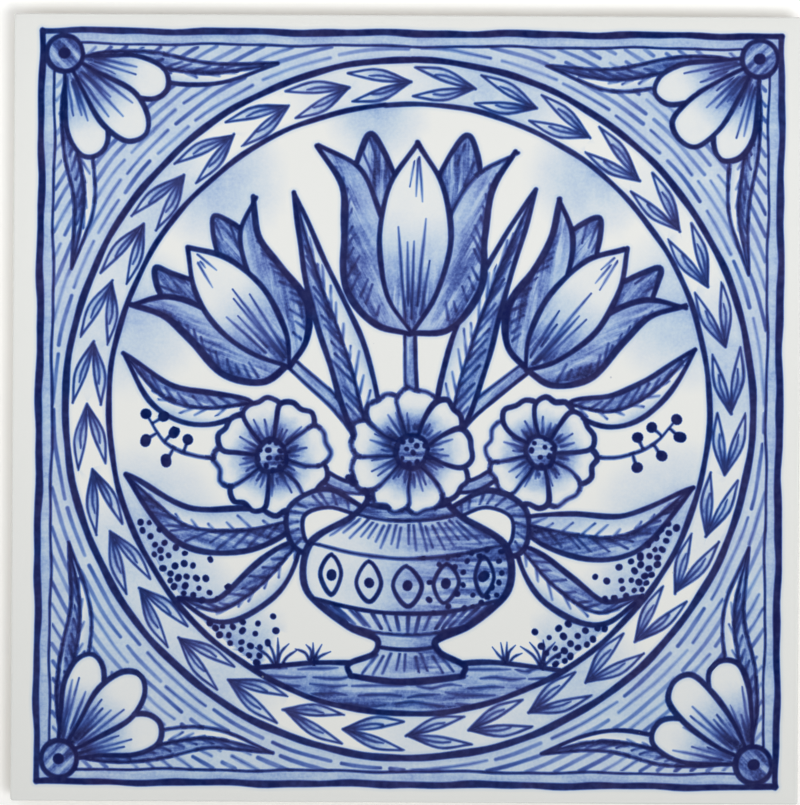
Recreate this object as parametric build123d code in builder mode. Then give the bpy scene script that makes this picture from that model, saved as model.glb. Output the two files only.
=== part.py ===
"""A square tin-glazed wall tile, pressed and fired as one piece of earthenware.

The tile lies on its back with the painted face up. The origin is the middle of the back,
X runs to the right of the painted face, Y to its top and Z out of it. Units are millimetres.
"""

import os
from math import radians, tan

from build123d import *

# Body: a square-sided band under the face, and below it edges that lean in towards the back,
# so that neighbouring tiles touch only at the face
tile_width = 130.0
tile_height = 130.0
thickness = 8.0
corner_radius = 0.5
band_depth = 2.6
edge_lean = 4.0  # degrees from square

# Edges: the glaze rounds the front edge, and the press leaves a small bevel on the back one
front_edge_radius = 0.4
back_bevel = 0.6

# Key on the back: a grid of shallow pockets that the bedding mortar grips
pockets_across = 6
pockets_up = 6
pocket_depth = 0.7
pocket_corner_radius = 1.5
pocket_wall_lean = 30.0  # degrees from square, so that the pressed body leaves the die
rib_width = 4.0
rim_width = 8.0  # from the face's outline to the first pocket


def pocket_mouth(outside: float, count: int) -> float:
    """Side of each pocket's mouth: an equal share of what the rim and the ribs leave."""
    return (outside - 2 * rim_width - (count - 1) * rib_width) / count


mouth_width = pocket_mouth(tile_width, pockets_across)
mouth_height = pocket_mouth(tile_height, pockets_up)

# How far the sides have leaned in by the top of the back bevel
lean_in = (thickness - band_depth - back_bevel) * tan(radians(edge_lean))


def outline_at(height: float, inset: float) -> Face:
    """The tile's outline at a height, smaller than the face by an inset on each side."""
    with BuildSketch(Plane.XY.offset(height)) as section:
        RectangleRounded(tile_width - 2 * inset, tile_height - 2 * inset, corner_radius)
    return section.sketch.face()


face_outline = outline_at(thickness - band_depth, 0)
bevel_outline = outline_at(back_bevel, lean_in)
back_outline = outline_at(0, lean_in + back_bevel)

with BuildPart() as tile:
    # Body: the band up to the face, then the leaning sides and the bevel down to the back
    extrude(face_outline, amount=band_depth)
    loft(sections=[face_outline, bevel_outline, back_outline], ruled=True)

    # Front edge
    fillet(tile.faces().sort_by(Axis.Z)[-1].edges(), front_edge_radius)

    # Key pockets, narrowing upwards into the body
    with BuildSketch(Plane.XY):
        with GridLocations(mouth_width + rib_width, mouth_height + rib_width, pockets_across, pockets_up):
            RectangleRounded(mouth_width, mouth_height, pocket_corner_radius)
    extrude(amount=pocket_depth, taper=pocket_wall_lean, mode=Mode.SUBTRACT)

tile.part.label = "tile"

os.makedirs("parts", exist_ok=True)
export_step(tile.part, "parts/tile.step")
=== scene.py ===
"""Looks of the delft tile: one pressed tile with a white tin glaze and blue painting on its face.

The tile lies on its back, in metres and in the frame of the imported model. The painting is laid
stroke by stroke in millimetres, and the front face is cut along the edges of the strokes.
"""

import logging
import math
from dataclasses import dataclass, field, replace
from enum import Enum
from typing import Any, Callable, Sequence

import bpy
import numpy as np
from bpy.types import Material, Mesh, NodeSocket, NodeTree, Object
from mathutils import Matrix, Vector
from mathutils.geometry import delaunay_2d_cdt


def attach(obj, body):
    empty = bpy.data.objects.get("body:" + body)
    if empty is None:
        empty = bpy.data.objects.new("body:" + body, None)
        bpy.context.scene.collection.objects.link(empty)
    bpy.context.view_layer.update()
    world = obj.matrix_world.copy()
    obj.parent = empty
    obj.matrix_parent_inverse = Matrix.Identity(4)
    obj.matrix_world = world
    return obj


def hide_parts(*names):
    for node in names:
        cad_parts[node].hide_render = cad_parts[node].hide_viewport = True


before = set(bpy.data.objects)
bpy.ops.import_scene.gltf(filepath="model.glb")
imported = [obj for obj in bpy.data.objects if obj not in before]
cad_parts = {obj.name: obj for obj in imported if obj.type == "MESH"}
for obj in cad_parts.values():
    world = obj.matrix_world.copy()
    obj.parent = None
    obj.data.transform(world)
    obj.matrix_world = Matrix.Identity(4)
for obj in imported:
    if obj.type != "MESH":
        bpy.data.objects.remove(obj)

LOG = logging.getLogger("delft_tile")
MM = 0.001
Points = np.ndarray
Knots = Sequence | Points
Shade = Callable[[Points], np.ndarray]
Pair = tuple[float, float]


class Brush(Enum):
    """Widths that the painter's brushes leave on the glaze, in millimetres."""

    BOLD = 1.15
    OUTLINE = 0.87
    LINER = 0.67
    HATCH = 0.56
    VEIN = 0.44


# Lines and outlines, in millimetres from the middle of the face

CURVE_STEP = 0.15  # between the points that a smooth line is worked out at
STROKE_STEP = 0.25  # between the points of a stroke, before its straights are thinned out


def along(line: Points) -> np.ndarray:
    """Returns how far each point lies from the start of a line."""
    return np.concatenate([[0.0], np.cumsum(np.linalg.norm(np.diff(line, axis=0), axis=1))])


def at_share(line: Points, shares: np.ndarray | float) -> Points:
    """Returns the points at shares of a line's length, from 0 at its start to 1 at its end."""
    way = along(line)
    return np.column_stack([np.interp(np.atleast_1d(shares) * way[-1], way, axis) for axis in line.T])


def even(line: Points, step: float) -> Points:
    """Returns the same line in even steps of about the given length."""
    count = max(2, int(round(along(line)[-1] / step)) + 1)
    return at_share(line, np.linspace(0.0, 1.0, count))


def curve(knots: Knots, closed: bool = False, step: float = 0.6) -> Points:
    """Draws a smooth line through a few knots.

    Args:
        knots: the points that the line goes through.
        closed: whether the line comes back to its first knot.
        step: distance between the points of the line.

    Returns:
        The line, in even steps.
    """
    k = np.asarray(knots, float)
    before, after = (k[-1:], k[:2]) if closed else (2 * k[:1] - k[1:2], 2 * k[-1:] - k[-2:-1])
    ring = np.vstack([before, k, after])
    spans = []
    for a, b, c, d in zip(ring, ring[1:], ring[2:], ring[3:]):
        gaps = [math.sqrt(max(np.linalg.norm(q - p), 1e-6)) for p, q in ((a, b), (b, c), (c, d))]
        t1, t2, t3 = np.cumsum(gaps)
        t = np.linspace(t1, t2, max(4, int(gaps[1] ** 2 / CURVE_STEP)), endpoint=False)[:, None]
        ab = a + (b - a) * t / t1
        bc = b + (c - b) * (t - t1) / (t2 - t1)
        cd = c + (d - c) * (t - t2) / (t3 - t2)
        abc = ab + (bc - ab) * t / t2
        bcd = bc + (cd - bc) * (t - t1) / (t3 - t1)
        spans.append(abc + (bcd - abc) * (t - t1) / (t2 - t1))
    spans.append(k[:1] if closed else k[-1:])
    return even(np.vstack(spans), step)


def arc(radius: float, start: float, stop: float, step: float = 0.8) -> Points:
    """Draws part of a circle round the middle of the face.

    Args:
        radius: the circle's radius.
        start: angle of the first point, in degrees.
        stop: angle of the last point, in degrees.
        step: distance between the points.

    Returns:
        The points of the arc.
    """
    count = max(3, int(abs(math.radians(stop - start)) * radius / step) + 1)
    angle = np.radians(np.linspace(start, stop, count))
    return radius * np.column_stack([np.cos(angle), np.sin(angle)])


def across(line: Points) -> Points:
    """Returns the unit direction to the left of a line at each of its points."""
    left = np.gradient(line, axis=0)[:, ::-1] * (-1, 1)
    return left / np.maximum(np.linalg.norm(left, axis=1, keepdims=True), 1e-9)


def beside(line: Points, offset: np.ndarray | float) -> Points:
    """Returns a line moved to its left by an offset, one for all or one for each point."""
    return line + across(line) * np.broadcast_to(offset, len(line))[:, None]


def heading(line: Points) -> float:
    """Returns the angle from the first to the last point of a line, in degrees."""
    way = line[-1] - line[0]
    return math.degrees(math.atan2(way[1], way[0]))


def mirrored(knots: Sequence) -> list[Pair]:
    """Returns knots with left and right changed over."""
    return [(-x, y) for x, y in knots]


def ringed(one: Points, other: Points) -> Points:
    """Returns the closed outline between two lines that run the same way."""
    return np.vstack([one, other[::-1]])


def inside(points: Points, outline: Points) -> np.ndarray:
    """Finds which points lie in a closed outline.

    Args:
        points: the points to test.
        outline: the corners of the outline, in order.

    Returns:
        True for each point inside.
    """
    hit = np.zeros(len(points), bool)
    near = np.flatnonzero(((points >= outline.min(0)) & (points <= outline.max(0))).all(1))
    if not len(near):
        return hit
    x, y = points[near].T
    odd = np.zeros(len(near), bool)
    for (ax, ay), (bx, by) in zip(outline, np.roll(outline, -1, 0)):
        if ay != by:
            odd ^= ((ay > y) != (by > y)) & (x < (bx - ax) * (y - ay) / (by - ay) + ax)
    hit[near] = odd
    return hit


def fade(start: Knots, stop: Knots, first: float, last: float) -> Shade:
    """Makes a shade that changes smoothly from one point to another.

    Args:
        start: where the shade is first.
        stop: where the shade is last.
        first: strength of the paint at the start, from 0 to 1.
        last: strength of the paint at the stop.

    Returns:
        A function that gives the strength at each point.
    """
    a, way = np.ravel(start), np.ravel(stop) - np.ravel(start)

    def strength(points: Points) -> np.ndarray:
        """Returns the strength at each point."""
        share = np.clip((points - a) @ way / (way @ way), 0.0, 1.0)
        return first + (last - first) * share * share * (3 - 2 * share)

    return strength


def flat(strength: float) -> Shade:
    """Makes a shade that is the same all over."""
    return lambda points: np.full(len(points), strength)


@dataclass(frozen=True)
class Pose:
    """Where a motif stands on the face: its foot, its turn in degrees and its size."""

    at: Pair = (0.0, 0.0)
    turn: float = 0.0
    size: float = 1.0

    def __call__(self, knots: Knots) -> Points:
        """Returns the motif's own points, placed on the face."""
        c, s = math.cos(math.radians(self.turn)), math.sin(math.radians(self.turn))
        return np.asarray(knots, float).reshape(-1, 2) * self.size @ np.array([[c, s], [-s, c]]) + self.at

    def bar(self, half: float, height: float) -> Points:
        """Returns a level line across the motif, placed on the face."""
        return self([(-half, height), (half, height)])


# Paint


@dataclass
class Stroke:
    """One pull of the brush: its path, with its half width and the paint it carries along it.

    The paint thins out over a soft edge, and a wet stroke also bleeds a faint tint past that edge.
    """

    path: Points
    half: np.ndarray
    load: np.ndarray
    soft: float
    bleed: float = 0.0
    tint: float = 0.055

    def part(self, first: int, last: int) -> "Stroke":
        """Returns the stretch of the stroke between two of its points."""
        kept = slice(first, last)
        return replace(self, path=self.path[kept], half=self.half[kept], load=self.load[kept])

    def thinned(self) -> "Stroke":
        """Thins the points out on the straights and leaves more of them in the bends.

        Returns:
            The same stroke with fewer points.
        """
        # Weight of a straight step, the bend in radians that weighs 1, and the weight for each point kept
        straight, bend_unit, per_point = 0.12, 0.25, 0.9
        ahead = np.diff(self.path, axis=0)
        bend = np.abs(np.diff(np.unwrap(np.arctan2(ahead[:, 1], ahead[:, 0]))))
        steps = straight + np.concatenate([[0.0], bend]) / bend_unit
        weight = np.concatenate([[0.0], np.cumsum(steps)])
        count = max(3, int(weight[-1] / per_point) + 1)
        shares = along(self.path) / along(self.path)[-1]
        share = np.interp(np.linspace(0, weight[-1], count), weight, shares)
        half, load = (np.interp(share, shares, values) for values in (self.half, self.load))
        return replace(self, path=at_share(self.path, share), half=half, load=load)

    def ink_at(self, points: Points) -> np.ndarray:
        """Works out the paint that the stroke leaves at each point.

        Args:
            points: the points to work out.

        Returns:
            Strength of the paint from 0 to 1.
        """
        half, load = self.half, self.load
        edge, carried = np.full(len(points), np.inf), np.zeros(len(points))
        for i, (a, b) in enumerate(zip(self.path, self.path[1:])):
            share = np.clip((points - a) @ (b - a) / max((b - a) @ (b - a), 1e-9), 0.0, 1.0)
            off = np.linalg.norm(points - a - share[:, None] * (b - a), axis=1)
            off -= half[i] + (half[i + 1] - half[i]) * share
            carried = np.where(off < edge, load[i] + (load[i + 1] - load[i]) * share, carried)
            edge = np.minimum(edge, off)
        cover = np.clip(0.5 - edge / self.soft, 0.0, 1.0)
        if self.bleed:
            past = np.clip(1 - (edge - self.soft / 2) / self.bleed, 0.0, 1.0)
            cover = np.maximum(cover, self.tint * past)
        return cover * carried

    def rim(self, wide: np.ndarray) -> Points:
        """Draws a closed line round the path.

        Args:
            wide: distance from the path at each of its points.

        Returns:
            The closed line, with round ends.
        """
        path, side = self.path, across(self.path)
        ends = []
        for k, way in ((-1, -1), (0, 1)):
            ahead = np.array([side[k, 1], -side[k, 0]]) * -way
            steps = 5 if wide[k] > 0.4 else 3  # a wide end takes more points to look round
            turn = np.radians(np.linspace(0, 180, steps + 2)[1:-1])[:, None]
            ends.append(path[k] + wide[k] * (np.cos(turn) * side[k] * -way + np.sin(turn) * ahead))
        left, right = path + side * wide[:, None], path - side * wide[:, None]
        return np.vstack([left, ends[0], right[::-1], ends[1]])


@dataclass
class Wash:
    """Thinned paint brushed over an outline, under the motifs that were painted before it."""

    outline: Points
    shade: Shade
    turn: float
    under: int


@dataclass
class Painting:
    """All the paint on the face, gathered from the front motif to the back one.

    The hand strays from a motif's knots by its looseness, and a stroke narrows over the taper, a share
    of its length. Only a brush of more than the wet width and load is wet enough to bleed.
    """

    seed: int = 11
    looseness: float = 0.16
    taper: float = 0.3
    wet_bleed: float = 0.55
    wet_width: float = 0.8
    wet_load: float = 0.9
    dot_soft: float = 0.26
    strokes: list[Stroke] = field(default_factory=list)
    washes: list[Wash] = field(default_factory=list)
    claims: list[Points] = field(default_factory=list)

    def __post_init__(self) -> None:
        """Starts the painter's hand from the seed."""
        self.hand = np.random.default_rng(self.seed)

    def trace(self, pose: Pose, knots: Knots, closed: bool = False) -> Points:
        """Returns a motif's line as the hand draws it, a little off its knots."""
        placed = pose(knots)
        return curve(placed + self.hand.normal(0.0, self.looseness, placed.shape), closed)

    def claim(self, outline: Points) -> None:
        """Keeps everything that is painted later out of an outline."""
        self.claims.append(outline)

    def covered(self, points: Points) -> np.ndarray:
        """Returns which points lie under a motif that is painted already."""
        return np.any([np.zeros(len(points), bool), *(inside(points, c) for c in self.claims)], axis=0)

    def wash(self, outline: Points, shade: Shade, turn: float = 0.0) -> None:
        """Lays thinned paint inside an outline, brushed at an angle in degrees."""
        self.washes.append(Wash(outline, shade, turn, len(self.claims)))

    def fill(self, outline: Points, shade: Shade, turn: float = 0.0) -> None:
        """Finishes a motif: lays its thinned paint and claims its outline."""
        self.wash(outline, shade, turn)
        self.claim(outline)

    def line(
        self,
        path: Points,
        brush: Brush,
        load: float = 1.0,
        ends: Pair = (0.85, 0.85),
        within: Points | None = None,
        sway: float = 0.07,
        soft: float = 0.3,
        dries: float = 0.1,
    ) -> None:
        """Pulls the brush along a path, and lifts it over what is painted already.

        Args:
            path: the line to follow.
            brush: the brush, which gives the width.
            load: how much paint the stroke carries, from 0 to 1.
            ends: share of the width that is left at the first and the last point.
            within: an outline that the stroke stays in.
            sway: how far the hand strays to the sides, in millimetres.
            soft: width of the edge over which the paint thins out.
            dries: share of the paint that is gone where the stroke is palest.
        """
        fine = even(np.asarray(path, float), STROKE_STEP)
        hidden = self.covered(fine)
        if within is not None:
            hidden |= ~inside(fine, within)
        way = along(fine)
        share = way / max(way[-1], 1e-6)
        rise = np.clip(share / self.taper, 0, 1) * (1 - ends[0]) + ends[0]
        fall = np.clip((1 - share) / self.taper, 0, 1) * (1 - ends[1]) + ends[1]
        # The pressure and the drift of the hand each come and go in a long and a short wave
        phase = self.hand.uniform(0, 2 * math.pi, 4)
        press = 1 + 0.08 * np.sin(way / 2.7 + phase[0]) + 0.05 * np.sin(way / 1.1 + phase[1])
        half = 0.5 * brush.value * self.hand.uniform(0.92, 1.08) * np.minimum(rise, fall) * press
        drift = sway * (np.sin(way / 3.7 + phase[2]) + 0.5 * np.sin(way / 1.6 + phase[3]))
        gone = share if self.hand.random() < 0.5 else np.sin(np.pi * share)
        wet = self.wet_bleed if brush.value > self.wet_width and load > self.wet_load else 0.0
        pull = Stroke(beside(fine, drift), half, load * (1 - dries * gone), soft, wet)
        cuts = [*(np.flatnonzero(np.diff(hidden.astype(int))) + 1), len(fine)]
        for first, last in zip([0, *cuts], cuts):
            if not hidden[first] and last - first > 2:
                self.strokes.append(pull.part(first, last).thinned())

    def dot(self, centre: Points, radius: float, load: float = 1.0) -> None:
        """Touches the tip of the brush down once, unless something is painted there.

        Args:
            centre: where the tip touches.
            radius: half width of the dot.
            load: how much paint it carries.
        """
        c = np.ravel(centre)
        if not self.covered(c[None])[0]:
            push = self.hand.normal(0.0, 0.12 * radius, 2)
            touch = np.array([c - push, c + push])
            self.strokes.append(Stroke(touch, np.full(2, radius), np.full(2, load), self.dot_soft))

    def hatch(
        self,
        near: Points,
        far: Points,
        count: int,
        reach: Pair = (0.0, 1.0),
        brush: Brush = Brush.HATCH,
        load: float = 0.8,
        loose: float = 0.15,
        ends: Pair = (1.0, 0.75),
        within: Points | None = None,
    ) -> None:
        """Pulls short strokes from one line towards another.

        Args:
            near: the line that the strokes start at.
            far: the line that they run towards.
            count: how many strokes there are.
            reach: shares of the way at which they start and stop.
            brush: the brush, which gives the width.
            load: how much paint they carry.
            loose: how much their starts and stops differ.
            ends: share of the width that is left at both ends.
            within: an outline that the strokes stay in.
        """
        shares = (np.arange(count) + 0.5 + self.hand.uniform(-0.25, 0.25, count)) / count
        for p, q in zip(at_share(near, shares), at_share(far, shares)):
            first = reach[0] + self.hand.uniform(-0.5, 0.5) * loose
            last = reach[1] + self.hand.uniform(-1.0, 1.0) * loose
            path = np.array([p + (q - p) * first, p + (q - p) * last])
            carried = load * self.hand.uniform(0.86, 1.0)
            self.line(path, brush, carried, ends, within, sway=0.03, dries=0.4)

    def ripples(self, outline: Points, pitch: float, load: float) -> None:
        """Fills an outline with short wavy strokes in level rows.

        Args:
            outline: the outline to fill.
            pitch: distance between the rows.
            load: how much paint they carry.
        """
        middle, shares = outline.mean(0), np.arange(4)
        span = np.linalg.norm(outline - middle, axis=1).max()
        for y in np.arange(-span, span, pitch):
            x = -span + self.hand.uniform(0, 4)
            while x < span:
                length = self.hand.uniform(4.0, 9.0)
                lift = self.hand.normal(0.0, 0.22, 4)
                wave = middle + np.column_stack([x + length * shares / 3, y + lift])
                carried = load * self.hand.uniform(0.75, 1.0)
                self.line(curve(wave), Brush.HATCH, carried, (0.4, 0.3), outline, sway=0.0, soft=0.4)
                x += length + self.hand.uniform(0.6, 2.2)

    def stipple(self, outline: Points, shade: Shade, radius: float, spacing: float) -> None:
        """Dots an outline, thickly where the shade is near 1 and not at all where it is 0.

        Args:
            outline: the outline to fill.
            shade: how thickly the dots stand.
            radius: half width of a dot.
            spacing: distance between dots where they stand thickest.
        """
        tries_per_place, palest = 20, 0.02
        low, high = outline.min(0), outline.max(0)
        count = int(np.prod(high - low) / spacing**2 * tries_per_place)
        tries = self.hand.uniform(low, high, (count, 2))
        tries = tries[inside(tries, outline)]
        kept = np.empty((0, 2))
        for point, thick in zip(tries, shade(tries)):
            gap = spacing / math.sqrt(max(thick, 1e-4))
            if thick > palest and (np.linalg.norm(kept - point, axis=1) > gap).all():
                kept = np.vstack([kept, point])
                self.dot(point, radius * self.hand.uniform(0.82, 1.15))

    def ink_at(self, points: Points) -> np.ndarray:
        """Works out the paint that all the strokes leave at each point.

        Args:
            points: the points to work out.

        Returns:
            Strength of the paint from 0 to 1.
        """
        segments = 8  # of a stroke, which are measured together against the points near them
        order = np.argsort(points[:, 0], kind="stable")
        spots = points[order]
        ink = np.zeros(len(points))
        for stroke in self.strokes:
            for k in range(0, len(stroke.path) - 1, segments):
                piece = stroke.part(k, k + segments + 1)
                room = piece.half.max() + piece.soft + piece.bleed
                low, high = piece.path.min(0) - room, piece.path.max(0) + room
                first, last = np.searchsorted(spots[:, 0], (low[0], high[0]))
                level = spots[first:last, 1]
                row = first + np.flatnonzero((level > low[1]) & (level < high[1]))
                if len(row):
                    ink[order[row]] = np.maximum(ink[order[row]], piece.ink_at(spots[row]))
        return ink

    def wash_at(self, points: Points) -> tuple[np.ndarray, np.ndarray]:
        """Works out the thinned paint at each point.

        Args:
            points: the points to work out.

        Returns:
            Strength of the paint from 0 to 1, and the place along and across the brush's way there.
        """
        front = np.full(len(points), len(self.claims))
        for i in range(len(self.claims) - 1, -1, -1):
            front[inside(points, self.claims[i])] = i
        tone, way = np.zeros(len(points)), np.column_stack([points, np.zeros(len(points))])
        for i, wash in enumerate(self.washes):
            here = np.flatnonzero(inside(points, wash.outline) & (front >= wash.under))
            laid = wash.shade(points[here])
            here, laid = here[laid > tone[here]], laid[laid > tone[here]]
            tone[here] = laid
            way[here, :2] = Pose(turn=-wash.turn)(points[here])
            way[here, 2] = i
        return tone, way


# Motifs


@dataclass(frozen=True)
class Motif:
    """A part of the picture, which hides what is painted after it in the same place."""

    art: Painting


@dataclass(frozen=True)
class Tulip(Motif):
    """A flamed tulip, one unit tall: a petal in front, two at its sides and two tips behind."""

    pose: Pose
    front: tuple = ((0, 0), (0.13, 0.2), (0.2, 0.5), (0.15, 0.82), (0, 1.06))
    side: tuple = ((0, 0), (0.2, 0.04), (0.37, 0.24), (0.4, 0.55), (0.42, 0.8), (0.56, 1.02))
    fold: tuple = ((0.56, 1.02), (0.33, 0.9), (0.21, 0.7), (0.13, 0.42))
    tip: tuple = ((0.1, 0.84), (0.19, 1.01), (0.27, 1.1), (0.33, 1.0), (0.37, 0.84))
    crown: tuple = ((-0.17, 0.78), (0, 0.9), (0.17, 0.78))

    def paint(self) -> None:
        """Paints the petals from the front one to the tips behind."""
        art, place = self.art, self.pose
        right, left = art.trace(place, self.front), art.trace(place, mirrored(self.front))
        petal = ringed(right, left)
        for edge in (right, left):
            art.line(edge, Brush.OUTLINE, ends=(0.7, 0.9))
        foot, crown = place.bar(0.05, 0.06), place(self.crown)
        art.hatch(foot, crown, 5, (0.08, 0.56), Brush.HATCH, 0.92, 0.2, (1.0, 0.4), petal)
        peak, heart = place.bar(0.01, 1.02), place.bar(0.12, 0.5)
        art.hatch(peak, heart, 3, (0.14, 0.42), Brush.VEIN, 0.8, 0.15, (0.8, 0.4), petal)
        art.fill(petal, fade(place((0, 0)), place((0, 0.72)), 0.5, 0.02), place.turn + 90)
        self.paint_sides()
        self.paint_tips()

    def paint_sides(self) -> None:
        """Paints the side petals, shaded to their outer edges."""
        art, place = self.art, self.pose
        for side, fold in ((self.side, self.fold), (mirrored(self.side), mirrored(self.fold))):
            outer, inner = art.trace(place, side), art.trace(place, fold)
            petal = np.vstack([outer, inner, place((0, 0.1))])
            art.line(outer, Brush.BOLD, ends=(0.8, 0.7))
            art.line(inner, Brush.OUTLINE, ends=(0.7, 0.8))
            art.hatch(outer[len(outer) // 7 :], inner[::-1], 15, (0.1, 0.34), loose=0.08, within=petal)
            middle = outer[len(outer) // 2]
            pale = middle + (place((0, 0.55))[0] - middle) * 0.85
            art.fill(petal, fade(middle, pale, 0.52, 0.06), heading(outer))

    def paint_tips(self) -> None:
        """Paints the two tips that show behind the other petals."""
        art, place = self.art, self.pose
        for tip in (self.tip, mirrored(self.tip)):
            edge = art.trace(place, tip)
            art.line(edge, Brush.OUTLINE)
            art.hatch(edge, place.bar(0.1, 0.3), 5, (0.03, 0.2), Brush.VEIN, loose=0.06)
            art.fill(np.vstack([edge, place((0, 0.4))]), flat(0.5), place.turn + 90)


@dataclass(frozen=True)
class Blossom(Motif):
    """An open flower, one unit in radius, with rounded petals round a dotted heart."""

    pose: Pose
    petals: int
    heart: float = 0.27
    overlap: float = 1.06

    def paint(self) -> None:
        """Paints the heart, then the petals round it."""
        art, pose = self.art, self.pose
        angles = np.linspace(0, 2 * math.pi, 9)[:-1]
        ring = [(self.heart * math.cos(a), self.heart * math.sin(a)) for a in angles]
        heart = art.trace(pose, ring, closed=True)
        art.line(heart, Brush.OUTLINE)
        art.stipple(heart, flat(0.9), 0.42, 1.15)
        art.fill(heart, fade(pose((-0.1, 0.25)), pose((0.15, -0.25)), 0.25, 0.7))
        for i in range(self.petals):
            self.paint_petal(replace(pose, turn=pose.turn + 360 * i / self.petals))

    def paint_petal(self, place: Pose) -> None:
        """Paints one petal, dark at its root.

        Args:
            place: the petal's own pose, along its length.
        """
        art, w = self.art, math.tan(math.pi / self.petals * self.overlap)
        edge = [(0.24, 0.24 * w), (0.55, 0.62 * w), (0.84, 0.8 * w), (1.0, 0.42 * w)]
        petal = art.trace(place, [*edge, (0.97, 0), *[(x, -y) for x, y in edge[::-1]]])
        art.line(petal, Brush.OUTLINE, ends=(0.6, 0.6))
        root, rim = place([(0.3, -0.22 * w), (0.3, 0.22 * w)]), place([(1.0, -0.8 * w), (1.0, 0.8 * w)])
        art.hatch(root, rim, 3, (0.02, 0.4), loose=0.2, ends=(1.0, 0.5), within=petal)
        art.fill(petal, fade(place((0.26, 0)), place((0.8, 0)), 0.6, 0.02), place.turn)


@dataclass(frozen=True)
class Leaf(Motif):
    """A pointed leaf along a spine, one half of it in shade."""

    spine: Knots
    half_width: float
    shaded: int = 1
    brush: Brush = Brush.OUTLINE

    def paint(self) -> None:
        """Paints the mid-rib, the two halves and their veins."""
        art = self.art
        spine = art.trace(Pose(), self.spine)
        length, share = along(spine)[-1], along(spine) / along(spine)[-1]
        swell = np.sin(np.pi * share**0.8) ** 0.9 * (1 - 0.25 * share)
        edges = {side: beside(spine, side * self.half_width * swell) for side in (1, -1)}
        art.line(spine, Brush.LINER, ends=(0.9, 0.4))
        for side, edge in edges.items():
            half = ringed(edge, spine)
            middle, rib = edge[len(edge) // 2], spine[len(spine) // 2]
            art.line(edge, self.brush, ends=(0.8, 0.8))
            if side == self.shaded:
                shade, pitch, reach, load = fade(rib, middle, 0.52, 0.32), 2.6, 0.72, 0.86
            else:
                shade, pitch, reach, load = fade(middle, rib, 0.16, 0.02), 3.4, 0.5, 0.7
            art.wash(half, shade, heading(spine))
            roots, tips = spine[: int(len(spine) * 0.86)], edge[int(len(edge) * 0.12) :]
            art.hatch(roots, tips, int(length / pitch), (0.04, reach), load=load, loose=0.2, within=half)
        art.claim(ringed(edges[1], edges[-1]))


@dataclass(frozen=True)
class Stem(Motif):
    """A double-lined stalk."""

    knots: tuple
    width: float = 1.8

    def paint(self) -> None:
        """Paints the two sides and the tone between them."""
        spine = self.art.trace(Pose(), self.knots)
        sides = [beside(spine, side * self.width / 2) for side in (1, -1)]
        for side in sides:
            self.art.line(side, Brush.LINER)
        self.art.fill(ringed(*sides), flat(0.34), heading(spine))


@dataclass(frozen=True)
class Sprig(Motif):
    """A thin curling twig with berries on short stalks."""

    knots: tuple
    berries: int
    stalk: float = 2.3
    berry_radius: float = 0.85

    def paint(self) -> None:
        """Paints the twig, then berries to its left and right in turn and one at its end."""
        art = self.art
        twig = art.trace(Pose(), self.knots)
        art.line(twig, Brush.LINER, ends=(0.9, 0.4))
        shares = np.linspace(0.5, 1.0, self.berries)
        roots, ways = at_share(twig, shares), across(twig)
        for i, (root, share) in enumerate(zip(roots, shares)):
            way = ways[min(int(share * len(twig)), len(twig) - 1)] * (1 if i % 2 else -1)
            reach = 0.0 if i == self.berries - 1 else self.stalk
            if reach:
                art.line(np.array([root, root + way * reach]), Brush.HATCH)
            art.dot(root + way * reach, self.berry_radius)


@dataclass(frozen=True)
class Tuft(Motif):
    """A few blades of grass from one root, one unit tall: the lean and the height of each."""

    pose: Pose
    blades: tuple = ((-0.75, 0.7), (-0.35, 0.9), (0.05, 1.0), (0.45, 0.85), (0.8, 0.6))

    def paint(self) -> None:
        """Paints the blades, the middle one the tallest."""
        for lean, tall in self.blades:
            blade = self.art.trace(self.pose, [(0.1 * lean, 0), (0.4 * lean, 0.6 * tall), (lean, tall)])
            self.art.line(blade, Brush.VEIN, ends=(1.0, 0.2))


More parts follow.
